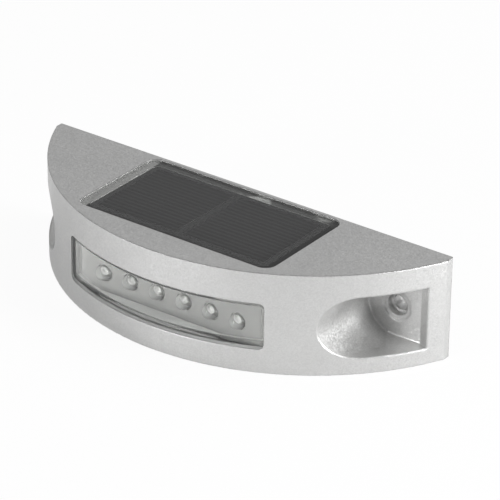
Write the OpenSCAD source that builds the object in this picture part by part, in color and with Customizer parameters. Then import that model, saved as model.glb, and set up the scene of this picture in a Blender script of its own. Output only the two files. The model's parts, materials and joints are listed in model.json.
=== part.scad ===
// Solar driveway light with a curved front, a solar window in the top,
// six LEDs behind a clear front window and two end recesses with fixing holes.
// The flat back goes against a wall or post and the flat underside can stand on a ledge.
// Millimetres. The origin is at the middle of the underside, +Z is up and the front faces -Y.

/* [Body] */
// Length along the wall
body_w = 150; // [149:1:180]
// Depth from the flat back to the middle of the curved front
body_d = 51; // [50.5:0.5:60]
// Height
body_h = 34; // [33:0.5:42]
// Depth of the small flat at each end, ahead of the back
end_flat = 2.75; // [1.5:0.25:5]
// Wall thickness of the casting
wall = 2.5; // [2:0.1:3]
// Rounding of the top and bottom edges of the curved front
edge_r = 0.3; // [0.2:0.1:1.2]
// Thickness of the metal between an end recess and the hollow
web_t = 3.05; // [2:0.05:3.5]
// Thickness of the frame round the back opening
rim_t = 5.5; // [4.5:0.25:6.5]

/* [End recesses] */
// Radius of the round inner end of a recess
recess_r = 10.3; // [8:0.1:11]
// Distance from the outer edge of a recess to the end of the body
recess_end = 2.7; // [2:0.1:3.5]
// Distance from the outer edge of a recess to the middle of its round end
recess_reach = 11.95; // [10:0.05:12.5]
// Length of the slope at the outer end of a recess floor
recess_slope = 3.1; // [1:0.1:5]
// Thickness of the pad between a recess floor and the back
pad_t = 7; // [5:0.25:9]
// Radius of the fixing holes
fixing_r = 2.5; // [2:0.1:3]
// Radius of the wider bore that takes the neck of the screw head
bore_r = 3.5; // [3.2:0.1:4]
// Depth of the wider bore below the recess floor
bore_depth = 2.6; // [1.5:0.1:3.5]
// Radius of the flat seat for the screw head
seat_r = 4.95; // [4.2:0.05:6]
// Depth of the seat
seat_depth = 0.4; // [0.2:0.1:1]

/* [Solar window] */
// Metal between the opening and the middle of the curved front
solar_front = 10.6; // [9:0.1:14]
// Metal between the front corners of the opening and the curved front
solar_edge = 1.766; // [1.5:0.001:3]
// Corner radius of the opening in the top
solar_r = 4; // [3:0.25:6]
// Strip of metal between the opening and the back
solar_strip = 1.1; // [1:0.1:2]
// Width of the ledge under the window at the sides
ledge_side = 3.1; // [2:0.1:4]
// Width of the ledge under the window at the back and front
ledge_back = 2.4; // [2:0.1:3]
// Thickness of the clear plate
solar_glass_t = 1.6; // [1.2:0.1:2.2]
// Depth of the clear plate below the top face
solar_sunk = 0.4; // [0.2:0.1:0.8]
// Thickness of the seal under the clear plate
solar_seal_t = 0.3; // [0.2:0.1:0.6]
// Thickness of the board that carries the cell
solar_board_t = 1.2; // [0.8:0.1:1.6]
// Plain border of the board round the cell
cell_border = 2.2; // [1:0.1:4]
// Plain band between the two halves of the cell
cell_band = 3.2; // [1:0.1:5]

/* [Lamp window] */
// Distance from the opening in the front to each end of the hollow
lamp_end = 10.2; // [8:0.1:14]
// Height of the metal under the opening in the front
lamp_below = 7.95; // [6.5:0.05:9]
// Height of the metal above the opening in the front
lamp_above = 10.45; // [9:0.05:12]
// Corner radius of the opening in the front
lamp_r = 1.8; // [1:0.1:3]
// Thickness of the clear front of the window
lens_t = 3; // [2.2:0.1:3.2]
// Thickness of the rims that run back from the clear front
lens_rim_t = 1.8; // [1.2:0.1:2.2]
// Depth of the rims behind the middle of the curved front
lens_rim_reach = 7.5; // [6:0.25:8]
// Thickness of the flange behind the wall
lens_flange_t = 1.5; // [1:0.1:2]
// Width of the flange all round
lens_flange_w = 2.2; // [1.6:0.1:2.4]
// Thickness of the seal between flange and wall
lens_seal_t = 0.3; // [0.2:0.1:0.6]

/* [LEDs] */
// Share of the opening's width from the first LED to the last
led_row_share = 0.6794; // [0.6:0.0001:0.72]
// Height of the LED row above the underside
led_z = 13; // [12:0.25:16]
// Radius of an LED
led_r = 2.5; // [2:0.1:2.8]
// Gap between the tips of the outer LEDs and the clear front
led_ahead = 2.23; // [1:0.01:3]

/* [Battery] */
// Gap between the cradle and the end of the hollow
cradle_end_gap = 1.05; // [0.5:0.05:5]
// Gap between the cradle and the bosses of the back cover
cradle_boss_gap = 1.06; // [0.5:0.01:3]
// Height from the rechargeable cell to the control board
control_rise = 3.2; // [2.5:0.1:5]
// Turns of the coil spring contact
spring_turns = 4; // [3:0.5:6]
// Radius of the spring wire
spring_wire_r = 0.4; // [0.25:0.05:0.5]

/* [Back cover] */
// Distance from the back cover's edge to each end of the hollow
cover_end = 3; // [2:0.25:4]
// Height of the metal above and below the back cover
cover_rim = 4.5; // [4:0.25:5.5]
// Thickness of the back cover
cover_t = 2; // [1.5:0.1:2.5]
// Width of the ledge beside the back opening
cover_ledge_side = 6; // [5.5:0.25:6.5]
// Width of the ledge above and below the back opening
cover_ledge = 3.25; // [3:0.25:3.75]
// Thickness of the gasket
gasket_t = 0.8; // [0.5:0.1:1]

/* [Push switch] */
// Gap between the finger dish and the end of the back opening
dish_end_gap = 1.4; // [0.8:0.1:3]
// Gap above and below the finger dish in the back opening
dish_side_gap = 0.65; // [0.4:0.05:2]
// Radius of the push button
button_r = 3.7; // [2.5:0.1:4]
// How far the button moves in
button_travel = 1.6; // [1:0.1:2]
// Depth of the finger dish
dish_depth = 4.6; // [4.5:0.1:5]

/* [Hidden] */
$fn = 64;
arc_fn = 240;

// What cuts run past the faces that they open
over = 1;
// Clearance round the clear windows
glass_gap = 0.15;

// Planes and arcs of the body
back_y = body_d / 2;
front_y = -body_d / 2;
arc_depth = body_d - end_flat;
arc_r = (pow(body_w / 2, 2) + pow(arc_depth, 2)) / (2 * arc_depth);
arc_y = front_y + arc_r;
inner_r = arc_r - wall;
// Place of an arc of radius r about the axis of the curved front
function arc_front(r, x) = arc_y - sqrt(r * r - x * x);

// End recesses, level with the lamp window, and the hollow between them
lamp_z = (body_h + lamp_below - lamp_above) / 2;
recess_out = body_w / 2 - recess_end;
recess_x = recess_out - recess_reach;
recess_floor_y = back_y - pad_t;
slope_share = (recess_floor_y - arc_front(arc_r, recess_out)) / recess_slope;
cavity_x = recess_x - recess_r - web_t;

// Solar window
solar_d = body_d - solar_strip - solar_front;
solar_w = 2 * sqrt(pow(arc_r - solar_edge, 2) - pow(arc_y - front_y - solar_front, 2));
solar_y = back_y - solar_strip - solar_d / 2;
solar_pocket = solar_sunk + solar_glass_t + solar_seal_t;
ledge_z = body_h - solar_pocket;
ledge_t = 2.2;
collar_side = 2;
collar_z = ledge_z - ledge_t;
solar_in_w = solar_w - 2 * ledge_side;
solar_in_d = solar_d - 2 * ledge_back;
solar_in_r = 2;
solar_glass_z = ledge_z + solar_seal_t;
cell_film_t = 0.2;
board_gap = 0.2;
solar_board_w = solar_in_w - 2 * board_gap;
solar_board_d = solar_in_d - 2 * board_gap;
solar_cell_z = solar_glass_z - cell_film_t;
solar_board_z = solar_cell_z - solar_board_t;

// Lamp window
lamp_w = 2 * (cavity_x - lamp_end);
lamp_h = body_h - lamp_below - lamp_above;
lens_sunk = 0.25;
lens_r = arc_r - lens_sunk;
lens_in_r = lens_r - lens_t;
flange_r = inner_r - lens_seal_t;
flange_in_r = flange_r - lens_flange_t;
flange_w = lamp_w + 2 * lens_flange_w;
flange_h = lamp_h + 2 * lens_flange_w;
plug_w = lamp_w - 2 * glass_gap;
plug_h = lamp_h - 2 * glass_gap;
plug_r = lamp_r - glass_gap;
rim_back_y = front_y + lens_rim_reach;

// Posts of the housing, LED board and reflector
post_w = 5;
post_t = 3;
post_gap = 0.4;
post_in = 1.2;
post_x = flange_w / 2 - post_in;
post_y = arc_front(flange_in_r, flange_w / 2) + post_gap;
led_board_y = post_y + post_t;
led_board_t = 1.6;
led_board_w = 2 * post_x + post_w;
led_board_low = 2;
led_board_h = 2 * (led_z - wall - led_board_low);
led_back_y = led_board_y + led_board_t;
plate_in = 3.5;
plate_w = lamp_w - 2 * plate_in;
plate_low = 3.05;
plate_high = 3.55;
plate_t = 1;
plate_gap = 0.35;
plate_y = arc_front(flange_in_r, plate_w / 2) + plate_gap;
plate_over = 0.1;
fold_x = lamp_w / 2 + plate_over;
fold_y = arc_front(flange_in_r, fold_x) + plate_gap;
standoff_r = 2;
led_count = 6;
led_pitch = lamp_w * led_row_share / (led_count - 1);
standoff_x = 2 * led_pitch;
standoff_drop = 5;

// LEDs
led_lip = 0.4;
led_lip_t = 1;
led_hole_gap = 0.3;
led_tip_y = arc_front(lens_in_r, lamp_w * led_row_share / 2) + led_ahead;
lead_w = 0.5;
lead_pitch = 2.54;
lead_tail = 1.6;
cup_r = 1;
cup_t = 0.8;
cup_back = 4.4;
frame_gap = 0.02;
resistor_w = 2;
resistor_h = 1.2;
resistor_t = 0.5;
resistor_drop = 3.5;
// Place of LED number i along the row
function led_x(i) = (i - (led_count + 1) / 2) * led_pitch;

// Small screws
head_r = 2;
head_t = 1.3;
thread_r = 1.1;
thread_gap = 0.02;
thread_bite = 2.4;
slot_w = 0.5;
slot_depth = 0.6;
slot_share = 0.7;

// Back cover
cover_w = 2 * (cavity_x - cover_end);
cover_h = body_h - 2 * cover_rim;
cover_z = body_h / 2;
cover_r = 4;
cover_gap = 0.3;
cover_seat_y = back_y - cover_t - gasket_t;
opening_w = cover_w - 2 * cover_ledge_side;
opening_h = cover_h - 2 * cover_ledge;
opening_r = 3;
boss_r = 2.9;
boss_len = 7.7;
cover_screw_in = 3;
cover_screw_down = 4.5;
cover_screw_x = cover_w / 2 - cover_screw_in;
cover_screw_z = cover_h / 2 - cover_screw_down;
cover_hole_r = 1.4;
cover_sink_r = 2.4;
cover_screw_len = 7;

// Push switch
dish_floor_t = 1.8;
dish_wall_t = 1.4;
dish_r = opening_h / 2 - dish_side_gap - dish_wall_t;
switch_x = opening_w / 2 - dish_end_gap - dish_wall_t - dish_r;
dish_floor_y = back_y - dish_depth;
dish_in_y = dish_floor_y - dish_floor_t;
button_gap = 0.35;
button_sunk = 0.8;
button_edge = 0.6;
button_lip = 1.3;
button_lip_t = 1;
button_lip_r = button_r + button_lip;
button_out_y = back_y - button_sunk;
button_lip_y = dish_in_y - button_gap;
button_in_y = button_lip_y - button_lip_t;
stem_r = 1.5;
stem_len = 4;
stem_gap = 0.3;
stem_y = button_in_y - stem_len;
seal_w = 1.7;
seal_t = 0.9;
seal_gap = 0.15;
switch_w = 8;
switch_edge = 0.6;
switch_t = 6;
switch_gap = 1.1;
switch_face_y = button_in_y - button_travel - switch_gap;
switch_board_y = switch_face_y - switch_t;
switch_board_edge = 1.75;
switch_board_h = 11;
switch_board_r = 1;
switch_board_t = 1.2;
switch_board_back = switch_board_y - switch_board_t;
switch_post_r = 1.9;
switch_post_x = button_lip_r + button_gap + switch_post_r;
switch_board_w = 2 * (switch_post_x + switch_board_edge);
switch_wire_out = 2;
switch_side_gap = 0.9;
switch_reach = max(dish_r + dish_wall_t, switch_post_x + switch_post_r);

// Control board, hung at a fixed distance under the solar board
control_t = 1.2;
capacitor_r = 2.5;
control_clear = 2.3;
control_z = solar_board_z - control_clear - 2 * capacitor_r - control_t;
control_top = control_z + control_t;

// Battery, its cradle and contacts. The cell is as thick as the height under the control board
// and the depth ahead of the cover's bosses allow
pad_foam_t = 0.8;
cradle_floor_t = 1.2;
cradle_end_t = 1.2;
cradle_side_t = 1.4;
cradle_gap = 0.2;
cradle_ahead = 1;
spring_len = 4;
spring_sides = 6;
spring_steps = 12;
spring_wide_share = 0.65;
spring_narrow_share = 0.42;
cradle_z = wall + pad_foam_t;
cradle_front_y = led_back_y + head_t + cradle_ahead;
cell_high_r = (control_z - control_rise - cradle_z - cradle_floor_t - cradle_gap) / 2;
cell_deep_r = (cover_seat_y - boss_len - cradle_boss_gap - cradle_front_y) / 2 - cradle_gap - cradle_side_t;
cell_r = min(cell_high_r, cell_deep_r);
spring_wide_r = cell_r * spring_wide_share;
spring_narrow_r = cell_r * spring_narrow_share;
contact_t = 0.5;
battery_z = cradle_z + cradle_floor_t + cradle_gap + cell_r;
cradle_d = 2 * (cell_r + cradle_gap + cradle_side_t);
battery_y = cradle_front_y + cradle_d / 2;
tower_r = 2;
tower_out = 1;
tower_reach = cradle_end_t + tower_out + tower_r;
cradle_x0 = -cavity_x + cradle_end_gap + tower_reach;
cradle_x1 = switch_x - switch_reach - switch_side_gap - tower_reach;
cradle_in = cradle_x1 - cradle_x0;
cell_len = cradle_in - spring_len - 2 * contact_t;
battery_x = (cradle_x0 + cradle_x1) / 2;
cell_x0 = cradle_x0 + contact_t + spring_len;
nub_r = 2.7;
nub_len = 1.2;
cell_edge = 0.6;
tower_x = [cradle_x0 - cradle_end_t - tower_out, cradle_x1 + cradle_end_t + tower_out];

// What the control board carries
control_in = 1.2;
control_d = cradle_d - 2 * control_in;
chip_w = 5;
chip_d = 4;
chip_t = 1.5;
coil_r = 2.6;
coil_core_r = 1.7;
coil_h = 2.8;
coil_lip = 0.6;
coil_x_share = 0.1802;
coil_x = battery_x + cradle_in * coil_x_share;
capacitor_x_share = 0.3063;
capacitor_len_share = 0.1261;
capacitor_len = cradle_in * capacitor_len_share;
capacitor_x = battery_x - cradle_in * capacitor_x_share;
socket_w = 5;
socket_d = 4.2;
socket_h = 3;
socket_wall = 0.7;
socket_in = 3.88;
socket_x_shares = [0.06, 0.34];
socket_y = battery_y + (control_d - socket_d) / 2;
// Places of the three wire sockets
socket_xs = concat([socket_in - solar_board_w / 2], battery_x * [1, 1] + cradle_in * socket_x_shares);
part_gap = 0.8;
part_y = socket_y - socket_d / 2 - part_gap - capacitor_r;
wire_r = 0.55;
bend_r = 0.6;
wire_pitch = 2;
wire_in = 1.5;
wire_out = 1.4;
wire_end_z = control_top + socket_wall;
wire_high_z = control_top + socket_h + wire_r;

// Rounded rectangle about the origin
module rounded_rect(w, h, r) {
    square([w - 2 * r, h], center = true);
    square([w, h - 2 * r], center = true);
    for (x = [-1, 1], y = [-1, 1])
        translate([x * (w / 2 - r), y * (h / 2 - r)])
            circle(r = r);
}

// Flat outline in X and Z, run along Y from y0 to y1
module along_y(y0, y1) {
    translate([0, y1, 0])
        rotate([90, 0, 0])
            linear_extrude(height = y1 - y0)
                children();
}

// Rounded bar along Y
module bar_y(w, h, r, y0, y1, x = 0, z = 0) {
    along_y(y0, y1)
        translate([x, z])
            rounded_rect(w, h, r);
}

// Round bar along Y
module rod_y(r, y0, y1, x = 0, z = 0) {
    translate([x, y1, z])
        rotate([90, 0, 0])
            cylinder(r = r, h = y1 - y0);
}

// Upright round bar
module rod_z(r, z0, z1, x, y) {
    translate([x, y, z0])
        cylinder(r = r, h = z1 - z0);
}

// Box from its low to its high corner
module box(low, high) {
    translate(low)
        cube(high - low);
}

// Upright cylinder about the axis of the curved front
module arc_round(r) {
    translate([0, arc_y, 0])
        cylinder(r = r, h = body_h, $fn = arc_fn);
}

// Curved wall about the same axis
module arc_shell(r, in_r) {
    difference() {
        arc_round(r);
        translate([0, arc_y, -over])
            cylinder(r = in_r, h = body_h + 2 * over, $fn = arc_fn);
    }
}

// Body before it is hollowed, with the edges of the curved front rounded
module body_form() {
    intersection() {
        translate([0, arc_y, 0])
            rotate_extrude($fn = arc_fn) {
                square([arc_r - edge_r, body_h]);
                translate([0, edge_r])
                    square([arc_r, body_h - 2 * edge_r]);
                for (z = [edge_r, body_h - edge_r])
                    translate([arc_r - edge_r, z])
                        circle(r = edge_r, $fn = 32);
            }
        box([-body_w / 2, front_y - over, -over], [body_w / 2, back_y, body_h + over]);
    }
}

// Ground kept under the slope that runs from the recess floor up to the curved front
module recess_ramp() {
    x0 = recess_out - recess_slope;
    x1 = recess_out + 2 * over;
    linear_extrude(height = body_h)
        polygon([
            [x0, recess_floor_y],
            [x1, recess_floor_y - slope_share * (x1 - x0)],
            [x1, recess_floor_y + over],
            [x0, recess_floor_y + over]
        ]);
}

// D-shaped recess on the right, with its fixing hole
module end_recess() {
    difference() {
        along_y(front_y - over, recess_floor_y) {
            translate([recess_x, lamp_z])
                circle(r = recess_r, $fn = 96);
            translate([recess_x, lamp_z - recess_r])
                square([recess_reach + over, 2 * recess_r]);
        }
        recess_ramp();
    }
    rod_y(fixing_r, recess_floor_y - over, back_y + over, recess_x, lamp_z);
    rod_y(bore_r, recess_floor_y - over, recess_floor_y + bore_depth, recess_x, lamp_z);
    rod_y(seat_r, recess_floor_y - over, recess_floor_y + seat_depth, recess_x, lamp_z);
}

// Hollow inside the curved wall, ahead of the back frame
module cavity() {
    intersection() {
        arc_round(inner_r);
        box([-cavity_x, front_y, wall], [cavity_x, back_y - rim_t, body_h - wall]);
    }
}

// Stepped hole in the top for the solar window
module solar_hole() {
    translate([0, solar_y, ledge_z])
        linear_extrude(height = solar_pocket + over)
            rounded_rect(solar_w, solar_d, solar_r);
    translate([0, solar_y, collar_z - over])
        linear_extrude(height = ledge_t + 2 * over)
            rounded_rect(solar_in_w, solar_in_d, solar_in_r);
}

// Collar of metal under the ledge of the solar window
module solar_collar() {
    intersection() {
        translate([0, solar_y, collar_z])
            linear_extrude(height = body_h - wall / 2 - collar_z)
                rounded_rect(solar_w + 2 * collar_side, solar_d + 2 * collar_side, solar_r);
        arc_round(arc_r - wall / 2);
        box([-body_w / 2, front_y, 0], [body_w / 2, back_y - rim_t / 2, body_h]);
    }
}

// Places of the four cover screws
module at_cover_screws() {
    for (x = [-1, 1], z = [-1, 1])
        translate([x * cover_screw_x, 0, cover_z + z * cover_screw_z])
            children();
}

module housing() color("silver") difference() {
    union() {
        difference() {
            body_form();
            cavity();
        }
        solar_collar();
        at_cover_screws()
            rod_y(boss_r, cover_seat_y - boss_len, back_y - rim_t);
        for (s = [-1, 1])
            box([s * post_x - post_w / 2, post_y, wall / 2],
                [s * post_x + post_w / 2, led_board_y, body_h - wall / 2]);
    }
    for (s = [0, 1])
        mirror([s, 0, 0])
            end_recess();
    solar_hole();
    bar_y(lamp_w, lamp_h, lamp_r, front_y - over, post_y, z = lamp_z);
    bar_y(cover_w + 2 * cover_gap, cover_h + 2 * cover_gap, cover_r, cover_seat_y, back_y + over,
        z = cover_z);
    bar_y(opening_w, opening_h, opening_r, back_y - rim_t - over, back_y, z = cover_z);
    at_cover_screws()
        rod_y(thread_r, cover_seat_y - cover_screw_len, back_y);
    for (s = [-1, 1])
        rod_y(thread_r, post_y - over, led_board_y + over, s * post_x, led_z);
}

// Solar window, its seal, the board and the two halves of the cell
module solar_window() color([0.9, 0.95, 1, 0.4])
    translate([0, solar_y, solar_glass_z])
        linear_extrude(height = solar_glass_t)
            rounded_rect(solar_w - 2 * glass_gap, solar_d - 2 * glass_gap, solar_r - glass_gap);

module solar_window_seal() color("gainsboro")
    translate([0, solar_y, ledge_z])
        linear_extrude(height = solar_seal_t)
            difference() {
                rounded_rect(solar_w - 2 * glass_gap, solar_d - 2 * glass_gap, solar_r - glass_gap);
                rounded_rect(solar_in_w, solar_in_d, solar_in_r);
            }

module solar_board() color([0.12, 0.12, 0.13])
    translate([0, solar_y, solar_board_z])
        linear_extrude(height = solar_board_t)
            rounded_rect(solar_board_w, solar_board_d, solar_in_r - board_gap);

module solar_cell() color([0.08, 0.09, 0.13]) {
    half_w = (solar_board_w - 2 * cell_border - cell_band) / 2;
    half_d = solar_board_d - 2 * cell_border;
    for (s = [-1, 1])
        translate([s * (cell_band + half_w) / 2, solar_y, solar_cell_z + cell_film_t / 2])
            cube([half_w, half_d, cell_film_t], center = true);
}

// Lamp window: a clear front that follows the body's curve, straight rims that run back
// from it and a curved flange that seats behind the wall
module lamp_window() color([0.9, 0.95, 1, 0.4]) difference() {
    union() {
        intersection() {
            bar_y(plug_w, plug_h, plug_r, front_y - over, led_board_y, z = lamp_z);
            union() {
                arc_shell(lens_r, flange_in_r);
                intersection() {
                    arc_round(lens_r);
                    box([-plug_w / 2, front_y, 0], [plug_w / 2, rim_back_y, body_h]);
                }
            }
        }
        intersection() {
            bar_y(flange_w, flange_h, plug_r + lens_flange_w, front_y - over, led_board_y, z = lamp_z);
            arc_shell(flange_r, flange_in_r);
        }
    }
    intersection() {
        bar_y(plug_w - 2 * lens_rim_t, plug_h - 2 * lens_rim_t, plug_r / 2, front_y - over,
            led_board_y + over, z = lamp_z);
        arc_round(lens_in_r);
    }
}

module lamp_window_seal() color("gainsboro")
    intersection() {
        difference() {
            bar_y(flange_w, flange_h, plug_r + lens_flange_w, front_y, led_board_y, z = lamp_z);
            bar_y(lamp_w, lamp_h, lamp_r, front_y - over, led_board_y + over, z = lamp_z);
        }
        arc_shell(inner_r, flange_r);
    }

// Screw with its head below the origin and its thread up
module screw(len) {
    difference() {
        union() {
            translate([0, 0, -head_t])
                cylinder(r = head_r, h = head_t);
            cylinder(r = thread_r - thread_gap, h = len);
        }
        for (a = [0, 90])
            rotate([0, 0, a])
                translate([0, 0, -head_t])
                    cube([2 * head_r * slot_share, slot_w, 2 * slot_depth], center = true);
    }
}

// Screw along Y with the underside of its head at y and its thread towards dir
module screw_y(y, len, dir, x = 0, z = 0) {
    translate([x, y, z])
        rotate([-90 * dir, 0, 0])
            screw(len);
}

// Places of the four reflector screws on the LED board
module at_reflector_screws() {
    for (s = [-1, 1], u = [-1, 1])
        translate([s * standoff_x, 0, led_z + u * standoff_drop])
            children();
}

// Reflector: a flat plate whose ends are folded back along the window's flange, with a hole
// for each LED and four standoffs on the LED board
module reflector() color("darkgray") difference() {
    union() {
        translate([0, 0, wall + plate_low])
            linear_extrude(height = collar_z - plate_high - wall - plate_low)
                polygon([
                    [-fold_x, fold_y],
                    [-plate_w / 2, plate_y],
                    [plate_w / 2, plate_y],
                    [fold_x, fold_y],
                    [fold_x, fold_y + plate_t],
                    [plate_w / 2, plate_y + plate_t],
                    [-plate_w / 2, plate_y + plate_t],
                    [-fold_x, fold_y + plate_t]
                ]);
        at_reflector_screws()
            rod_y(standoff_r, plate_y, led_board_y);
    }
    for (i = [1:led_count])
        rod_y(led_r + led_hole_gap, plate_y - over, plate_y + plate_t + over, led_x(i), led_z);
    at_reflector_screws()
        rod_y(thread_r, plate_y + 2 * plate_t, led_board_y + over);
}

module reflector_screws() color("silver")
    at_reflector_screws()
        screw_y(led_back_y, led_board_t + thread_bite, -1);

// Two leads of an LED, one with the cup that holds the chip
module led_frame(i, grow) {
    for (s = [-1, 1])
        let (x = led_x(i) + s * lead_pitch / 2, half = lead_w / 2 + grow)
            box([x - half, led_tip_y + cup_back - grow, led_z - half],
                [x + half, led_back_y + lead_tail, led_z + half]);
    rod_y(cup_r + grow, led_tip_y + cup_back - grow, led_tip_y + cup_back + cup_t + grow,
        led_x(i) - lead_pitch / 2 + cup_r - lead_w / 2, led_z);
}

// One clear LED on the board, hollow where its metal frame goes
module led(i) color([0.95, 0.95, 0.95, 0.5]) difference() {
    union() {
        rod_y(led_r, led_tip_y + led_r, led_board_y, led_x(i), led_z);
        translate([led_x(i), led_tip_y + led_r, led_z])
            sphere(r = led_r);
        rod_y(led_r + led_lip, led_board_y - led_lip_t, led_board_y, led_x(i), led_z);
    }
    led_frame(i, frame_gap);
}

module led_frames() color("lightgray")
    for (i = [1:led_count])
        led_frame(i, 0);

module led_board() color([0.55, 0.6, 0.3]) difference() {
    box([-led_board_w / 2, led_board_y, led_z - led_board_h / 2],
        [led_board_w / 2, led_back_y, led_z + led_board_h / 2]);
    for (i = [1:led_count], s = [-1, 1])
        translate([led_x(i) + s * lead_pitch / 2, led_board_y + led_board_t / 2, led_z])
            cube([lead_w + 2 * frame_gap, led_board_t + 2 * over, lead_w + 2 * frame_gap], center = true);
    for (s = [-1, 1])
        rod_y(thread_r + thread_gap, led_board_y - over, led_back_y + over, s * post_x, led_z);
    at_reflector_screws()
        rod_y(thread_r + thread_gap, led_board_y - over, led_back_y + over);
}

module led_resistors() color("black")
    for (i = [1:led_count])
        translate([led_x(i), led_back_y + resistor_t / 2, led_z - resistor_drop])
            cube([resistor_w, resistor_t, resistor_h], center = true);

module led_board_screws() color("silver")
    for (s = [-1, 1])
        screw_y(led_back_y, led_board_t + post_t, -1, s * post_x, led_z);

// Rechargeable cell with rounded ends and a raised contact
module battery_cell() color("yellowgreen")
    translate([cell_x0, battery_y, battery_z])
        rotate([0, 90, 0])
            rotate_extrude() {
                square([cell_r - cell_edge, cell_len - nub_len]);
                translate([0, cell_edge])
                    square([cell_r, cell_len - nub_len - 2 * cell_edge]);
                for (z = [cell_edge, cell_len - nub_len - cell_edge])
                    translate([cell_r - cell_edge, z])
                        circle(r = cell_edge, $fn = 24);
                square([nub_r, cell_len]);
            }

// Cradle: a trough under the cell, two end walls and a tower at each end for the control board
module battery_cradle() color("dimgray") difference() {
    union() {
        box([cradle_x0 - cradle_end_t, battery_y - cradle_d / 2, cradle_z],
            [cradle_x1 + cradle_end_t, battery_y + cradle_d / 2, battery_z]);
        for (x = [cradle_x0 - cradle_end_t, cradle_x1])
            box([x, battery_y - cradle_d / 2, cradle_z],
                [x + cradle_end_t, battery_y + cradle_d / 2, battery_z + cell_r]);
        for (x = tower_x)
            rod_z(tower_r, cradle_z, control_z, x, battery_y);
    }
    translate([cradle_x0, battery_y, battery_z])
        rotate([0, 90, 0])
            cylinder(r = cell_r + cradle_gap, h = cradle_in);
    for (x = tower_x)
        rod_z(thread_r, battery_z, control_z + over, x, battery_y);
}

// Square contact plate against an end wall, its near face at x
module contact_plate(x)
    box([x, battery_y - spring_wide_r, battery_z - spring_wide_r],
        [x + contact_t, battery_y + spring_wide_r, battery_z + spring_wide_r]);

// Ring of points round the spring wire at the share t of its run
spring_rings = spring_turns * spring_steps;
function spring_ring(t) = [
    for (k = [0:spring_sides - 1])
        let (
            turn = 360 * spring_turns * t,
            side = 360 * k / spring_sides,
            out = spring_wide_r + (spring_narrow_r - spring_wide_r) * t + spring_wire_r * cos(side),
            along = spring_wire_r / 2 + (spring_len - spring_wire_r) * t + spring_wire_r * sin(side) / 2
        )
        [along, out * cos(turn), out * sin(turn)]
];

// Contact plate with the coil spring that presses on the cell
module battery_spring() color("gold") {
    last = spring_rings * spring_sides;
    walls = [
        for (j = [0:spring_rings - 1], k = [0:spring_sides - 1])
            let (
                a = j * spring_sides + k,
                b = j * spring_sides + (k + 1) % spring_sides
            )
            each [[a, b, b + spring_sides], [a, b + spring_sides, a + spring_sides]]
    ];
    ends = [
        for (k = [1:spring_sides - 2])
            each [[0, k + 1, k], [last, last + k, last + k + 1]]
    ];
    translate([cradle_x0 + contact_t, battery_y, battery_z])
        polyhedron(points = [for (j = [0:spring_rings]) each spring_ring(j / spring_rings)],
            faces = concat(walls, ends));
    contact_plate(cradle_x0);
}

module battery_plate() color("gold")
    contact_plate(cradle_x1 - contact_t);

module battery_pad() color("white")
    box([cradle_x0, battery_y - cradle_d / 2, wall], [cradle_x1, battery_y + cradle_d / 2, cradle_z]);

// Control board and what is soldered to it
module control_board() color("darkgreen") difference() {
    box([tower_x[0] - tower_r, battery_y - control_d / 2, control_z],
        [tower_x[1] + tower_r, battery_y + control_d / 2, control_top]);
    for (x = tower_x)
        rod_z(thread_r + thread_gap, control_z - over, control_top + over, x, battery_y);
}

module control_board_screws() color("silver")
    for (x = tower_x)
        translate([x, battery_y, control_top])
            rotate([180, 0, 0])
                screw(control_t + thread_bite);

module control_chip() color([0.1, 0.1, 0.1])
    box([battery_x - chip_w / 2, part_y - chip_d / 2, control_top],
        [battery_x + chip_w / 2, part_y + chip_d / 2, control_top + chip_t]);

module control_coil() color("saddlebrown")
    translate([coil_x, part_y, control_top])
        rotate_extrude() {
            square([coil_core_r, coil_h]);
            square([coil_r, coil_lip]);
            translate([0, coil_h - coil_lip])
                square([coil_r, coil_lip]);
        }

module control_capacitor() color("midnightblue")
    translate([capacitor_x, part_y, control_top + capacitor_r])
        rotate([0, 90, 0])
            cylinder(r = capacitor_r, h = capacitor_len);

// Open sockets at the back edge of the control board, one for each pair of wires
module wire_sockets() color("ivory")
    for (x = socket_xs)
        translate([x - socket_w / 2, socket_y - socket_d / 2, control_top])
            difference() {
                cube([socket_w, socket_d, socket_h]);
                translate([socket_wall, socket_wall, socket_wall])
                    cube([socket_w - 2 * socket_wall, socket_d - 2 * socket_wall, socket_h]);
            }

// Wire along straight stretches with round bends
module wire(points) {
    for (i = [0:len(points) - 2])
        let (run = points[i + 1] - points[i])
            translate(points[i])
                rotate([0, acos(run[2] / norm(run)), atan2(run[1], run[0])])
                    cylinder(r = wire_r, h = norm(run), $fn = 24);
    if (len(points) > 2)
        for (i = [1:len(points) - 2])
            translate(points[i])
                sphere(r = bend_r, $fn = 24);
}

// From the solar board's underside into the first socket
module solar_wires() color("firebrick")
    for (s = [-1, 1])
        let (x = socket_xs[0] + s * wire_pitch / 2)
            wire([[x, socket_y, wire_end_z], [x, socket_y, solar_board_z]]);

// From the LED board's back, up and over into the second socket
module led_wires() color("firebrick")
    for (s = [-1, 1])
        let (
            x = socket_xs[1] + s * wire_pitch / 2,
            y = led_back_y + wire_out,
            z = led_z + led_board_h / 2 - wire_in
        )
            wire([
                [x, led_back_y, z],
                [x, y, z],
                [x, y, wire_high_z],
                [x, socket_y, wire_high_z],
                [x, socket_y, wire_end_z]
            ]);

// From the two battery contacts up to the control board
module battery_wires() color("firebrick")
    for (x = [cradle_x0 + wire_r, cradle_x1 - wire_r])
        let (y = battery_y + spring_wide_r / 2)
            wire([[x, y, battery_z + spring_wide_r], [x, y, control_z]]);

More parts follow.
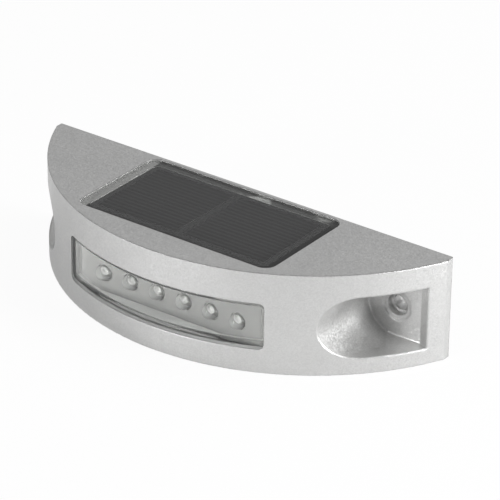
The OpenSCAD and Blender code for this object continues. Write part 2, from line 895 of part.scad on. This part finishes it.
// From the switch board, up and across into the third socket
module switch_wires() color("firebrick")
    for (s = [-1, 1])
        let (
            x0 = switch_x + s * wire_pitch / 2,
            x1 = socket_xs[2] + s * wire_pitch / 2,
            y = switch_board_back - switch_wire_out,
            z0 = cover_z + wire_pitch,
            z1 = wire_high_z + (s + 1) * wire_pitch / 2
        )
            wire([
                [x0, switch_board_back, z0],
                [x0, y, z0],
                [x0, y, z1],
                [x1, y, z1],
                [x1, socket_y, z1],
                [x1, socket_y, wire_end_z]
            ]);

// Places of the two screws of the switch board
module at_switch_posts() {
    for (s = [-1, 1])
        translate([switch_x + s * switch_post_x, 0, cover_z])
            children();
}

// Back cover with the finger dish, the button's hole and two posts for the switch board
module back_cover() color("dimgray") difference() {
    union() {
        bar_y(cover_w, cover_h, cover_r - cover_gap, back_y - cover_t, back_y, z = cover_z);
        rod_y(dish_r + dish_wall_t, dish_in_y, back_y - cover_t, switch_x, cover_z);
        at_switch_posts()
            rod_y(switch_post_r, switch_board_y, back_y - cover_t);
    }
    rod_y(dish_r, dish_floor_y, back_y + over, switch_x, cover_z);
    rod_y(button_r + button_gap, dish_in_y - over, back_y, switch_x, cover_z);
    rod_y(button_r + seal_w, dish_in_y - over, dish_in_y + seal_t, switch_x, cover_z);
    at_switch_posts()
        rod_y(thread_r, switch_board_y - over, dish_in_y);
    at_cover_screws() {
        rod_y(cover_hole_r, back_y - cover_t - over, back_y + over);
        rod_y(cover_sink_r, back_y - head_t, back_y + over);
    }
}

module back_cover_gasket() color([0.15, 0.15, 0.15]) difference() {
    bar_y(cover_w, cover_h, cover_r - cover_gap, cover_seat_y, cover_seat_y + gasket_t, z = cover_z);
    bar_y(opening_w, opening_h, opening_r, cover_seat_y - over, back_y, z = cover_z);
    at_cover_screws()
        rod_y(cover_hole_r, cover_seat_y - over, back_y);
}

module back_cover_screws() color("silver")
    at_cover_screws()
        screw_y(back_y - head_t, cover_screw_len, -1);

// Push button: a cap with a rounded edge, the lip that keeps it in and the stem that works the switch
module switch_button() color([0.12, 0.12, 0.12])
    translate([switch_x, stem_y, cover_z])
        rotate([-90, 0, 0])
            rotate_extrude() {
                square([stem_r, button_out_y - stem_y]);
                translate([0, stem_len])
                    square([button_lip_r, button_lip_t]);
                translate([0, stem_len])
                    square([button_r, button_out_y - button_in_y - button_edge]);
                translate([0, stem_len])
                    square([button_r - button_edge, button_out_y - button_in_y]);
                translate([button_r - button_edge, button_out_y - stem_y - button_edge])
                    circle(r = button_edge, $fn = 32);
            }

module switch_seal() color([0.2, 0.2, 0.2]) difference() {
    rod_y(button_r + seal_w, dish_in_y, dish_in_y + seal_t, switch_x, cover_z);
    rod_y(button_r + seal_gap, dish_in_y - over, dish_in_y + seal_t + over, switch_x, cover_z);
}

module switch_body() color("black") difference() {
    bar_y(switch_w, switch_w, switch_edge, switch_board_y, switch_face_y, switch_x, cover_z);
    rod_y(stem_r + stem_gap, stem_y - button_travel - stem_gap, switch_face_y + over, switch_x, cover_z);
}

module switch_board() color("darkgreen") difference() {
    bar_y(switch_board_w, switch_board_h, switch_board_r, switch_board_back, switch_board_y,
        switch_x, cover_z);
    at_switch_posts()
        rod_y(thread_r + thread_gap, switch_board_back - over, switch_board_y + over);
}

module switch_screws() color("silver")
    at_switch_posts()
        screw_y(switch_board_back, switch_board_t + thread_bite, 1);

housing();
solar_window();
solar_window_seal();
solar_board();
solar_cell();
lamp_window();
lamp_window_seal();
reflector();
reflector_screws();
led(1);  // led_1
led(2);  // led_2
led(3);  // led_3
led(4);  // led_4
led(5);  // led_5
led(6);  // led_6
led_frames();
led_board();
led_resistors();
led_board_screws();
battery_cell();
battery_cradle();
battery_spring();
battery_plate();
battery_pad();
control_board();
control_chip();
control_coil();
control_capacitor();
wire_sockets();
control_board_screws();
solar_wires();
led_wires();
battery_wires();
switch_wires();
back_cover();
back_cover_gasket();
back_cover_screws();
switch_button();
switch_seal();
switch_body();
switch_board();
switch_screws();
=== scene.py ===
import json
import math

import bmesh
import bpy
from mathutils import Matrix, Vector


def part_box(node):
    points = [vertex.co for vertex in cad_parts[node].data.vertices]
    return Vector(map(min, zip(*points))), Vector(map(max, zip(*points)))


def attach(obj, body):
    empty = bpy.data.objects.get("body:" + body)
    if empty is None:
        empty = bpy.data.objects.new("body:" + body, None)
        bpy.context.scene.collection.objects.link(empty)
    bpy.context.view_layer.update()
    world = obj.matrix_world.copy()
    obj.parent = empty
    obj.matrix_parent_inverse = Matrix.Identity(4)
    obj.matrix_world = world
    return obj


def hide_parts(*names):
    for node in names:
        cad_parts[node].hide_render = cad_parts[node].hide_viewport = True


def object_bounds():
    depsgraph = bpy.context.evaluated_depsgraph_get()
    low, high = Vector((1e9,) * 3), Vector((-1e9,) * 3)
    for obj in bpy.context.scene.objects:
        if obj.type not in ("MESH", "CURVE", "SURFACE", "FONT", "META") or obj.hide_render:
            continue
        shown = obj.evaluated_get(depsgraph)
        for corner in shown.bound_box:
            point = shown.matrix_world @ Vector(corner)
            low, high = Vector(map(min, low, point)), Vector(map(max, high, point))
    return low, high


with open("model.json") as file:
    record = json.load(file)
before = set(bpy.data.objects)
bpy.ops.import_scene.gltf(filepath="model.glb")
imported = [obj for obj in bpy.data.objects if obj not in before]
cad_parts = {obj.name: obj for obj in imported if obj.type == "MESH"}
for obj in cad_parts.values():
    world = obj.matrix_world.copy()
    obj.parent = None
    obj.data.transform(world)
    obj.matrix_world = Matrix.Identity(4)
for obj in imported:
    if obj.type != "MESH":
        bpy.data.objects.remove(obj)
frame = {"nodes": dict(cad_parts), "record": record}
cad_low, cad_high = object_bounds()
NODES = frame["nodes"]
MM = 0.001


def direction(azimuth, elevation):
    """Unit vector towards a place; azimuth 0 is in front, 90 to the right."""
    a, e = math.radians(azimuth), math.radians(elevation)
    return Vector((math.sin(a) * math.cos(e), -math.cos(a) * math.cos(e), math.sin(e)))


def link(obj):
    bpy.context.scene.collection.objects.link(obj)
    return obj


# camera, fitted to the outline in the photo
CAMERA_AZIMUTH = 36.11
CAMERA_ELEVATION = 27.818
CAMERA_ROLL = math.radians(0.711)
CAMERA_DISTANCE = 0.95912
CAMERA_TARGET = Vector((0.017985, 0.0015, 0.027975))
PHOTO_PIXELS = 500.0
FOCAL_PIXELS = 3181.9
SENSOR_WIDTH = 36.0


def make_camera():
    back = direction(CAMERA_AZIMUTH, CAMERA_ELEVATION)
    right = Vector((0, 0, 1)).cross(back).normalized()
    up = back.cross(right)
    side = right * math.cos(CAMERA_ROLL) + up * math.sin(CAMERA_ROLL)
    top = up * math.cos(CAMERA_ROLL) - right * math.sin(CAMERA_ROLL)
    data = bpy.data.cameras.new("camera")
    data.sensor_width = SENSOR_WIDTH
    data.lens = SENSOR_WIDTH * FOCAL_PIXELS / PHOTO_PIXELS
    data.clip_start = 0.05
    data.clip_end = 20.0
    camera = link(bpy.data.objects.new("camera", data))
    place = CAMERA_TARGET + back * CAMERA_DISTANCE
    camera.matrix_world = Matrix((
        (side.x, top.x, back.x, place.x),
        (side.y, top.y, back.y, place.y),
        (side.z, top.z, back.z, place.z),
        (0, 0, 0, 1),
    ))
    bpy.context.scene.camera = camera


# node trees
RECESS_STARTS = (44 * MM, 52 * MM)  # from the middle, where the edges grow softer
SHARP_TOP = (cad_high[2] - 0.33 * MM, cad_high[2] - 0.30 * MM)


class Nodes:
    """A node tree with short calls for the nodes that recur."""

    def __init__(self, tree):
        self.tree = tree

    def link(self, a, b):
        self.tree.links.new(a, b)

    def node(self, kind, **props):
        n = self.tree.nodes.new(kind)
        for name, value in props.items():
            setattr(n, name, value)
        return n

    def feed(self, socket, value):
        """Gives a socket the output of another one, a colour or a number."""
        if isinstance(value, bpy.types.NodeSocket):
            self.link(value, socket)
        elif isinstance(value, tuple):
            socket.default_value = (*value, 1)
        else:
            socket.default_value = value

    def math(self, operation, a, b):
        n = self.node("ShaderNodeMath", operation=operation)
        self.feed(n.inputs[0], a)
        self.feed(n.inputs[1], b)
        return n.outputs[0]

    def axes(self, vector):
        n = self.node("ShaderNodeSeparateXYZ")
        self.link(vector, n.inputs[0])
        return n.outputs

    def ray(self, kind):
        return self.node("ShaderNodeLightPath").outputs[kind]

    def shaders(self, share, a, b):
        """Mix of two shaders; a share of 1 is all of the second."""
        n = self.node("ShaderNodeMixShader")
        for socket, value in zip(n.inputs, (share, a, b)):
            self.link(value, socket)
        return n.outputs[0]


class Mat(Nodes):
    """A material round one principled shader, whose patterns follow the CAD frame."""

    def __init__(self, name, **values):
        self.material = bpy.data.materials.new(name)
        self.material.use_nodes = True
        super().__init__(self.material.node_tree)
        self.shader = self.tree.nodes["Principled BSDF"]
        self.place = self.node("ShaderNodeTexCoord").outputs["Object"]
        for key, value in values.items():
            self.put(key.replace("_", " ").title(), value)

    def put(self, name, value):
        self.feed(self.shader.inputs[name], value)

    def normals(self):
        """The X, Y and Z of the direction that a face looks in."""
        return self.axes(self.node("ShaderNodeNewGeometry").outputs["True Normal"])

    def noise(self, scale, detail=3.0, rough=0.5, stretch=None):
        n = self.node("ShaderNodeTexNoise")
        vector = self.place
        if stretch is not None:
            mapping = self.node("ShaderNodeMapping")
            self.link(vector, mapping.inputs["Vector"])
            mapping.inputs["Scale"].default_value = stretch
            vector = mapping.outputs["Vector"]
        self.link(vector, n.inputs["Vector"])
        n.inputs["Scale"].default_value = scale
        n.inputs["Detail"].default_value = detail
        n.inputs["Roughness"].default_value = rough
        return n.outputs["Fac"]

    def cells(self, scale):
        """A random colour for each cell of a fine, irregular pattern, and its red alone as a number."""
        n = self.node("ShaderNodeTexVoronoi")
        self.link(self.place, n.inputs["Vector"])
        n.inputs["Scale"].default_value = scale
        split = self.node("ShaderNodeSeparateColor")
        self.link(n.outputs["Color"], split.inputs[0])
        return n.outputs["Color"], split.outputs["Red"]

    def ramp(self, value, low, high, out_low=0.0, out_high=1.0):
        n = self.node("ShaderNodeMapRange")
        for name, number in (
            ("Value", value),
            ("From Min", low),
            ("From Max", high),
            ("To Min", out_low),
            ("To Max", out_high),
        ):
            self.feed(n.inputs[name], number)
        return n.outputs["Result"]

    def mix(self, share, a, b):
        n = self.node("ShaderNodeMix", data_type="RGBA")
        self.link(share, n.inputs["Factor"])
        self.feed(n.inputs[6], a)
        self.feed(n.inputs[7], b)
        return n.outputs[2]

    def roughness(self, value, low, high):
        self.put("Roughness", self.ramp(value, 0.25, 0.75, low, high))

    def rounded(self, radius, at_ends=None):
        """Normal that rounds off the edges, as paint and moulding do, and more so at the end recesses."""
        n = self.node("ShaderNodeBevel", samples=6)
        n.inputs["Radius"].default_value = radius
        if at_ends is not None:
            out = self.math("ABSOLUTE", self.axes(self.place)["X"], 0.0)
            self.link(self.ramp(out, *RECESS_STARTS, radius, at_ends), n.inputs["Radius"])
        return n.outputs["Normal"]

    def crisp_top(self, normal):
        """Keeps the top's own normal up to its edge, which is sharp where the others are soft."""
        n = self.node("ShaderNodeMix", data_type="VECTOR")
        self.link(self.ramp(self.axes(self.place)["Z"], *SHARP_TOP), n.inputs["Factor"])
        self.link(normal, n.inputs[4])
        n.inputs[5].default_value = (0.0, 0.0, 1.0)
        return n.outputs[1]

    def vectors(self, operation, a, b=None):
        n = self.node("ShaderNodeVectorMath", operation=operation)
        self.link(a, n.inputs[0])
        if operation == "SCALE":
            n.inputs["Scale"].default_value = b
        elif isinstance(b, tuple):
            n.inputs[1].default_value = b
        elif b is not None:
            self.link(b, n.inputs[1])
        return n.outputs[0]

    def tilted(self, colour, normal, amount):
        """Normal that leans by a random colour, for flakes that lie at all angles."""
        lean = self.vectors("SCALE", self.vectors("SUBTRACT", colour, (0.5, 0.5, 0.5)), amount)
        return self.vectors("NORMALIZE", self.vectors("ADD", normal, lean))

    def bump(self, height, depth, strength, normal=None):
        n = self.node("ShaderNodeBump")
        n.inputs["Distance"].default_value = depth
        n.inputs["Strength"].default_value = strength
        self.link(height, n.inputs["Height"])
        if normal is not None:
            self.link(normal, n.inputs["Normal"])
        self.put("Normal", n.outputs["Normal"])

    def pass_shadows(self, tint):
        """Lets lamp light through clear pieces instead of stopping it at them."""
        gap = self.node("ShaderNodeBsdfTransparent")
        self.feed(gap.inputs["Color"], tint)
        surface = self.shaders(self.ray("Is Shadow Ray"), self.shader.outputs[0], gap.outputs[0])
        self.link(surface, self.tree.nodes["Material Output"].inputs["Surface"])


def times(colour, factor):
    return tuple(min(1.0, c * factor) for c in colour)


# finishes
FLAKES_PER_METRE = 2600.0
FLAKE_GLINT = 0.2
FLAKE_LEAN = 0.13
PAINT_EDGE = 0.4 * MM
PAINT_EDGE_AT_ENDS = 1.0 * MM


def silver_paint():
    """Satin paint with fine metal flakes that catch the light one by one."""
    m = Mat("silver_paint", metallic=0.8, roughness=0.4)
    flakes, brightness = m.cells(FLAKES_PER_METRE)
    patches = m.ramp(m.noise(35.0, 4.0, 0.55), 0.3, 0.7)
    base = m.mix(patches, (0.555, 0.555, 0.552), (0.585, 0.585, 0.58))
    m.put("Base Color", m.mix(m.math("MULTIPLY", brightness, FLAKE_GLINT), base, (0.86, 0.86, 0.85)))
    m.roughness(m.noise(900.0, 2.0), 0.36, 0.44)
    soft_edges = m.crisp_top(m.rounded(PAINT_EDGE, PAINT_EDGE_AT_ENDS))
    m.bump(m.noise(620.0, 3.0, 0.6), 0.06 * MM, 0.4, m.tilted(flakes, soft_edges, FLAKE_LEAN))
    return m


def clear(name, tint, rough, grain, ior=1.49, through=1.0):
    """Clear moulding with faint waves; where through is under 1, the rest of it is milky."""
    m = Mat(name, base_color=tint, roughness=rough)
    m.put("IOR", ior)
    m.put("Transmission Weight", through)
    m.bump(m.noise(grain, 2.0), 0.004 * MM, 0.1, m.rounded(0.3 * MM))
    m.pass_shadows(tuple(0.5 + 0.5 * c for c in tint))
    return m


def clear_with_ground_rim(name, tint, rough, grain):
    """Clear moulding with a finely ground rim all round its front, greyer above and below than beside, where
    the rim is painted lighter and less clear as painted light against the shade it lies in.
    """
    m = clear(name, tint, rough, grain)
    normal = m.normals()
    front = m.ramp(m.math("ABSOLUTE", normal["Y"], 0.0), 0.3, 0.5)
    beside = m.ramp(m.math("ABSOLUTE", normal["X"], 0.0), 0.6, 0.8)
    m.put("Roughness", m.ramp(front, 0.0, 1.0, 0.35, rough))
    # painted light: the rim's side faces are made less clear and take the full tint, against the shade they
    # lie in
    m.put("Transmission Weight", m.math("MAXIMUM", front, m.ramp(beside, 0.0, 1.0, 0.2, 0.1)))
    m.put("Base Color", m.mix(front, m.mix(beside, times(tint, 0.65), tint), tint))
    return m


def worn(m, colour, spread, scale):
    """Slow, faint change of a base colour over the surface; gives back the pattern."""
    pattern = m.noise(scale, 4.0, 0.6)
    darker, lighter = times(colour, 1 - spread), times(colour, 1 + spread)
    m.put("Base Color", m.mix(m.ramp(pattern, 0.3, 0.7), darker, lighter))
    return pattern


def moulded(name, colour, rough, grain, depth, spread):
    """Plastic, rubber or foam with a grain of its own; depth is in mm."""
    m = Mat(name)
    m.roughness(worn(m, colour, spread, 60.0), rough - 0.05, rough + 0.06)
    m.bump(m.noise(grain, 4.0, 0.6), depth * MM, 0.5)
    return m


def brushed(name, colour, rough):
    """Bare metal with fine marks that run across its depth."""
    m = Mat(name, metallic=1.0)
    m.roughness(worn(m, colour, 0.08, 220.0), rough - 0.06, rough + 0.08)
    m.bump(m.noise(700.0, 2.0, 0.5, stretch=(1.0, 6.0, 1.0)), 0.02 * MM, 0.5)
    return m


LINE_PITCH = 1.9 * MM
WAVES_PER_SCALE = 20 / (2 * math.pi)


def cell_film(name, colour, line_share, gloss):
    """Dark film with fine pale lines along X on its top; its sides are painted near to black, as painted
    shade.
    """
    m = Mat(name, roughness=0.3)
    m.put("Specular IOR Level", gloss)
    wave = m.node("ShaderNodeTexWave", wave_type="BANDS", bands_direction="Y", wave_profile="SIN")
    m.link(m.place, wave.inputs["Vector"])
    wave.inputs["Scale"].default_value = 1.0 / LINE_PITCH / WAVES_PER_SCALE
    wave.inputs["Distortion"].default_value = 0.0
    line = m.ramp(wave.outputs["Fac"], 0.4, 0.95, 0.0, line_share)
    crystals = m.cells(420.0)[1]
    base = m.mix(m.math("MULTIPLY", crystals, 0.5), colour, times(colour, 1.25))
    top = m.mix(line, base, (0.080, 0.080, 0.081))
    # painted shade: the film's sides are made near to black against the lamp light that falls on them
    m.put("Base Color", m.mix(m.ramp(m.normals()["Z"], 0.4, 0.6), (0.004, 0.004, 0.004), top))
    m.bump(m.noise(500.0, 2.0), 0.01 * MM, 0.2)
    return m


BEAD_BEHIND = (20 * MM, 23 * MM)
BEAD_LEFT_END = (-33.8 * MM, -33.4 * MM)


def bead_with_painted_light():
    """Sealant round the solar window, with painted light and shade: dark in front, painted shade grey with
    pale stretches of painted glint behind, and pale painted light at the left.
    """
    m = Mat("window_seal", roughness=0.32)
    pale = (0.72, 0.72, 0.71)
    fine = m.noise(420.0, 3.0, 0.6)
    # painted highlight: pale stretches behind stand in for glints reflected off the glass edge
    painted_glints = m.ramp(m.noise(1.0, 2.0, 0.5, stretch=(95.0, 95.0, 300.0)), 0.56, 0.64)
    place = m.axes(m.place)
    behind = m.ramp(place["Y"], *BEAD_BEHIND)
    # painted light: the left end of the bead is made pale where the ledge is lit
    painted_light_left = m.ramp(place["X"], *BEAD_LEFT_END, 0.75, 0.0)
    # painted shade: the grey behind stands in for the shade by the back wall; in front it is near to black
    grey = m.mix(behind, (0.03, 0.03, 0.03), m.mix(fine, (0.17, 0.17, 0.168), (0.23, 0.23, 0.227)))
    m.put("Base Color", m.mix(m.math("MULTIPLY", behind, painted_glints), m.mix(painted_light_left, grey, pale), pale))
    m.bump(fine, 0.02 * MM, 0.3)
    return m


def board_with_white_front():
    """Circuit board whose front, the side of the LEDs, is printed white."""
    m = Mat("led_board")
    pattern = m.noise(150.0, 4.0)
    green = m.mix(pattern, (0.03, 0.14, 0.05), (0.045, 0.19, 0.075))
    white = m.mix(pattern, (0.72, 0.72, 0.69), (0.78, 0.78, 0.75))
    m.put("Base Color", m.mix(m.ramp(m.normals()["Y"], -0.6, -0.5), white, green))
    m.roughness(pattern, 0.3, 0.42)
    m.bump(m.noise(1500.0, 3.0), 0.01 * MM, 0.4)
    return m


# finish: colour, roughness, fineness of the grain, its depth in mm, how far the colour spreads
MOULDED = {
    "reflector_grey": ((0.235, 0.235, 0.231), 0.42, 500.0, 0.02, 0.03),
    "circuit_board": ((0.035, 0.16, 0.06), 0.35, 1500.0, 0.01, 0.15),
    "black_plastic": ((0.012, 0.012, 0.012), 0.5, 1400.0, 0.02, 0.08),
    "cell_wrap": ((0.12, 0.32, 0.08), 0.3, 250.0, 0.01, 0.06),
    "dark_plastic": ((0.022, 0.022, 0.024), 0.55, 1300.0, 0.04, 0.12),
    "foam": ((0.7, 0.7, 0.67), 0.9, 1600.0, 0.1, 0.05),
    "capacitor_can": ((0.02, 0.03, 0.12), 0.35, 300.0, 0.01, 0.08),
    "socket_plastic": ((0.7, 0.66, 0.52), 0.5, 900.0, 0.03, 0.08),
    "wire_sheath": ((0.35, 0.02, 0.015), 0.45, 900.0, 0.01, 0.08),
    "gasket_rubber": ((0.015, 0.015, 0.015), 0.7, 1200.0, 0.03, 0.08),
    "button_rubber": ((0.018, 0.018, 0.019), 0.6, 1700.0, 0.04, 0.12),
    "lamp_window_bead": ((0.33, 0.33, 0.325), 0.4, 420.0, 0.02, 0.08),
}
# finish: colour, roughness
BRUSHED = {
    "tinned_metal": ((0.78, 0.78, 0.76), 0.3),
    "screw_steel": ((0.55, 0.55, 0.56), 0.34),
    "contact_metal": ((0.7, 0.68, 0.62), 0.28),
    "coil_copper": ((0.5, 0.2, 0.08), 0.35),
    "lead_frame_metal": ((0.93, 0.93, 0.92), 0.3),
}
FINISHES = {
    "silver_paint": silver_paint(),
    "clear_window": clear("clear_window", (0.985, 0.99, 0.985), 0.02, 90.0),
    "clear_lens": clear_with_ground_rim("clear_lens", (0.97, 0.975, 0.965), 0.03, 90.0),
    "led_clear": clear("led_clear", (0.9, 0.905, 0.9), 0.03, 300.0, ior=1.30, through=0.78),
    "window_seal": bead_with_painted_light(),
    "solar_board": cell_film("solar_board", (0.003, 0.003, 0.0032), line_share=0.0, gloss=0.0),
    "solar_cell": cell_film("solar_cell", (0.047, 0.047, 0.048), line_share=1.0, gloss=0.5),
    "white_front": board_with_white_front(),
}
FINISHES.update((name, moulded(name, *row)) for name, row in MOULDED.items())
FINISHES.update((name, brushed(name, *row)) for name, row in BRUSHED.items())
# nodes that look other than the rest of their slot
OWN_FINISH = {"led_board": "white_front", "lamp_window_seal": "lamp_window_bead"}


def finish_nodes():
    for part in frame["record"]["subparts"]:
        node = part["node"]
        finish = FINISHES[OWN_FINISH.get(node, part["material_slot"])]
        NODES[node].data.materials.clear()
        NODES[node].data.materials.append(finish.material)


# solids, with sizes in mm from an origin in the CAD frame
def ring(bm, centre, across, up, radius, sides):
    """Points on a circle that across and up span."""
    angles = (2 * math.pi * k / sides for k in range(sides))
    return [bm.verts.new(centre + (across * math.cos(a) + up * math.sin(a)) * radius * MM) for a in angles]


def skin(bm, low, high):
    """Faces between two rings of points, of which one may be a single point."""
    sides = max(len(low), len(high))
    for k in range(sides):
        j = (k + 1) % sides
        if len(low) == 1:
            bm.faces.new((low[0], high[k], high[j]))
        elif len(high) == 1:
            bm.faces.new((low[j], low[k], high[0]))
        else:
            bm.faces.new((low[j], low[k], high[k], high[j]))


def turned(bm, origin, outline, sides):
    """Solid turned about a line along Y; the outline is (radius, y)."""
    rows = []
    for radius, y in outline:
        centre = origin + Vector((0, y * MM, 0))
        if radius == 0:
            rows.append([bm.verts.new(centre)])
        else:
            rows.append(ring(bm, centre, Vector((1, 0, 0)), Vector((0, 0, 1)), radius, sides))
    for low, high in zip(rows, rows[1:]):
        skin(bm, low, high)


def stamped(bm, origin, outline, thickness):
    """Flat sheet part: the outline is (x, y), and its thickness lies evenly below and above."""
    low, high = (
        [bm.verts.new(origin + Vector((x, y, z)) * MM) for x, y in outline]
        for z in (-thickness / 2, thickness / 2)
    )
    bm.faces.new(low[::-1])
    bm.faces.new(high)
    skin(bm, low, high)


def wire(bm, points, radius, sides=8):
    """Round wire with flat ends along points of the CAD frame."""
    rows = []
    last = len(points) - 1
    for k, point in enumerate(points):
        along = (points[min(k + 1, last)] - points[max(k - 1, 0)]).normalized()
        across = along.cross(Vector((0, 0, 1))).normalized()
        rows.append(ring(bm, point, across, along.cross(across), radius, sides))
    for low, high in zip(rows, rows[1:]):
        skin(bm, low, high)
    bm.faces.new(rows[0][::-1])
    bm.faces.new(rows[-1])


SHARP_FROM = math.radians(35)


def piece(name, bm, finish, node):
    """Makes a mesh into a piece of the lamp that takes the place of a CAD node."""
    bmesh.ops.recalc_face_normals(bm, faces=bm.faces)
    mesh = bpy.data.meshes.new(name)
    bm.to_mesh(mesh)
    bm.free()
    mesh.polygons.foreach_set("use_smooth", [True] * len(mesh.polygons))
    mesh.set_sharp_from_angle(angle=SHARP_FROM)
    mesh.materials.append(FINISHES[finish].material)
    obj = link(bpy.data.objects.new(name, mesh))
    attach(obj, "lamp")
    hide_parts(node)


# LEDs, in mm; the lead frame is measured from the middle of its top
LED_COUNT = 6
LED_RADIUS = 2.5
DOME_STEPS = 12
COLLAR_THICK = 1.0
SOFT_EDGE = 0.05
FRAME_DEPTH = 3.3
SHEET = 0.5
CUP_X = -0.52
CUP_FLOOR = 0.42
CUP_DEPTH = 0.8
POST_X = 1.1
WIRE_RADIUS = 0.05
WIRE_STEPS = 10
WIRE_START_Y = 0.4
WIRE_BOW = 1.9
WIRE_BOW_LENGTH = 1.25  # as a share of the wire's run, at which it would be back at its start


def led_body(origin, length, collar):
    """Clear body from its domed tip to the collar that stands on the board."""
    body = bmesh.new()
    angles = [math.pi / 2 * k / DOME_STEPS for k in range(1, DOME_STEPS + 1)]
    dome = [(0, 0)] + [(LED_RADIUS * math.sin(a), LED_RADIUS - LED_RADIUS * math.cos(a)) for a in angles]
    shoulder = length - COLLAR_THICK
    foot = [
        (LED_RADIUS, shoulder - SOFT_EDGE),
        (LED_RADIUS + SOFT_EDGE, shoulder),
        (collar - SOFT_EDGE, shoulder),
        (collar, shoulder + SOFT_EDGE),
        (collar, length),
        (0, length),
    ]
    turned(body, origin, dome + foot, 48)
    return body


def lead_frame(frames, origin, end):
    """Anvil with the cup that holds the chip, the post beside it, and the fine wire between them."""
    anvil = [(-1.52, end), (-1.52, 0.9), (-1.46, 0.3), (0.42, 0.3), (0.42, 0.8), (-1.02, 2.9), (-1.02, end)]
    post = [(1.02, end), (1.02, 1.6), (0.62, 0.7), (0.7, 0.1), (1.52, 0.0), (1.52, end)]
    stamped(frames, origin, anvil, SHEET)
    stamped(frames, origin, post, SHEET)
    cup = [
        (0, CUP_FLOOR),
        (0.35, CUP_FLOOR),
        (0.8, 0),
        (0.95, 0),
        (1.0, 0.06),
        (0.8, CUP_DEPTH),
        (0, CUP_DEPTH),
    ]
    turned(frames, origin + Vector((CUP_X, 0, 0)) * MM, cup, 28)
    arc = []
    for k in range(WIRE_STEPS + 1):
        t = k / WIRE_STEPS
        x = CUP_X + (POST_X - CUP_X) * t
        y = WIRE_START_Y - WIRE_BOW * t * (WIRE_BOW_LENGTH - t)
        arc.append(origin + Vector((x, y, 0)) * MM)
    wire(frames, arc, WIRE_RADIUS)


def make_leds():
    """LEDs with a clear body round the stamped metal frame that holds the chip."""
    frames = bmesh.new()
    frames_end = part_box("led_frames")[1][1]
    for i in range(1, LED_COUNT + 1):
        low, high = (Vector(corner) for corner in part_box(f"led_{i}"))
        tip = Vector(((low.x + high.x) / 2, low.y, (low.z + high.z) / 2))
        body = led_body(tip, (high.y - low.y) / MM, (high.x - low.x) / 2 / MM)
        piece(f"led_body_{i}", body, "led_clear", f"led_{i}")
        frame_top = tip + Vector((0, FRAME_DEPTH * MM, 0))
        lead_frame(frames, frame_top, (frames_end - frame_top.y) / MM)
    piece("led_lead_frames", frames, "lead_frame_metal", "led_frames")


# stage
FLOOR_REACH = 6.0
FLOOR_SEEN = 0.93  # how much of the floor that the camera sees is plain white, beside its shadow
# axis, direction along it and strength of the light from the right, left, back, front and above
WORLD_SIDES = [("X", 1.0, 0.08), ("X", -1.0, 0.28), ("Y", 1.0, 0.2), ("Y", -1.0, 0.08), ("Z", 1.0, 1.0)]
# name, azimuth, elevation, size and power
LAMPS = [
    ("lamp_right", 100, 12, 0.3, 7.2),
    ("lamp_behind", 120, 45, 0.4, 2.5),
    ("lamp_front", -18, 8, 0.3, 4.4),
]
LAMP_DISTANCE = 0.9
LAMP_TARGET = Vector((0, 0, 0.02))


def floor_finish():
    """Pale floor with a shadow, near to white for the camera and behind glass but not in reflections."""
    m = Mat("floor_pale", roughness=0.9)
    m.put("Base Color", (0.8, 0.8, 0.8))
    glow = m.node("ShaderNodeEmission")
    glow.inputs["Strength"].default_value = 1.0
    seen = m.math("MAXIMUM", m.ray("Is Camera Ray"), m.ray("Is Transmission Ray"))
    share = m.math("MULTIPLY", seen, FLOOR_SEEN)
    surface = m.shaders(share, m.shader.outputs[0], glow.outputs[0])
    m.link(surface, m.tree.nodes["Material Output"].inputs["Surface"])
    return m


def make_floor():
    corners = [(-1, -1), (1, -1), (1, 1), (-1, 1)]
    mesh = bpy.data.meshes.new("floor")
    mesh.from_pydata([(x * FLOOR_REACH, y * FLOOR_REACH, 0) for x, y in corners], [], [(0, 1, 2, 3)])
    mesh.materials.append(floor_finish().material)
    link(bpy.data.objects.new("floor", mesh))


def make_world():
    """Surroundings that light the object from each side by its own strength; white to the camera alone."""
    world = bpy.data.worlds.new("studio")
    world.use_nodes = True
    bpy.context.scene.world = world
    n = Nodes(world.node_tree)
    place = n.axes(n.node("ShaderNodeTexCoord").outputs["Generated"])
    total = 0.0
    for axis, sign, strength in WORLD_SIDES:
        lean = n.math("MAXIMUM", n.math("MULTIPLY", place[axis], sign), 0.0)
        total = n.math("ADD", n.math("MULTIPLY", n.math("POWER", lean, 2.0), strength), total)
    light = n.tree.nodes["Background"]
    white = n.node("ShaderNodeBackground")
    for background, strength in ((light, total), (white, 1.0)):
        n.feed(background.inputs["Color"], (1, 1, 1))
        n.feed(background.inputs["Strength"], strength)
    surface = n.shaders(n.ray("Is Camera Ray"), light.outputs[0], white.outputs[0])
    n.link(surface, n.tree.nodes["World Output"].inputs["Surface"])


def make_lamp(name, azimuth, elevation, size, power):
    """Soft square lamp that looks at the object."""
    towards = direction(azimuth, elevation)
    data = bpy.data.lights.new(name, "AREA")
    data.shape = "SQUARE"
    data.size = size
    data.energy = power
    lamp = link(bpy.data.objects.new(name, data))
    lamp.location = LAMP_TARGET + towards * LAMP_DISTANCE
    lamp.rotation_euler = towards.to_track_quat("Z", "Y").to_euler()


make_camera()
finish_nodes()
make_leds()
make_floor()
make_world()
for row in LAMPS:
    make_lamp(*row)

bpy.context.scene.view_settings.view_transform = "Standard"
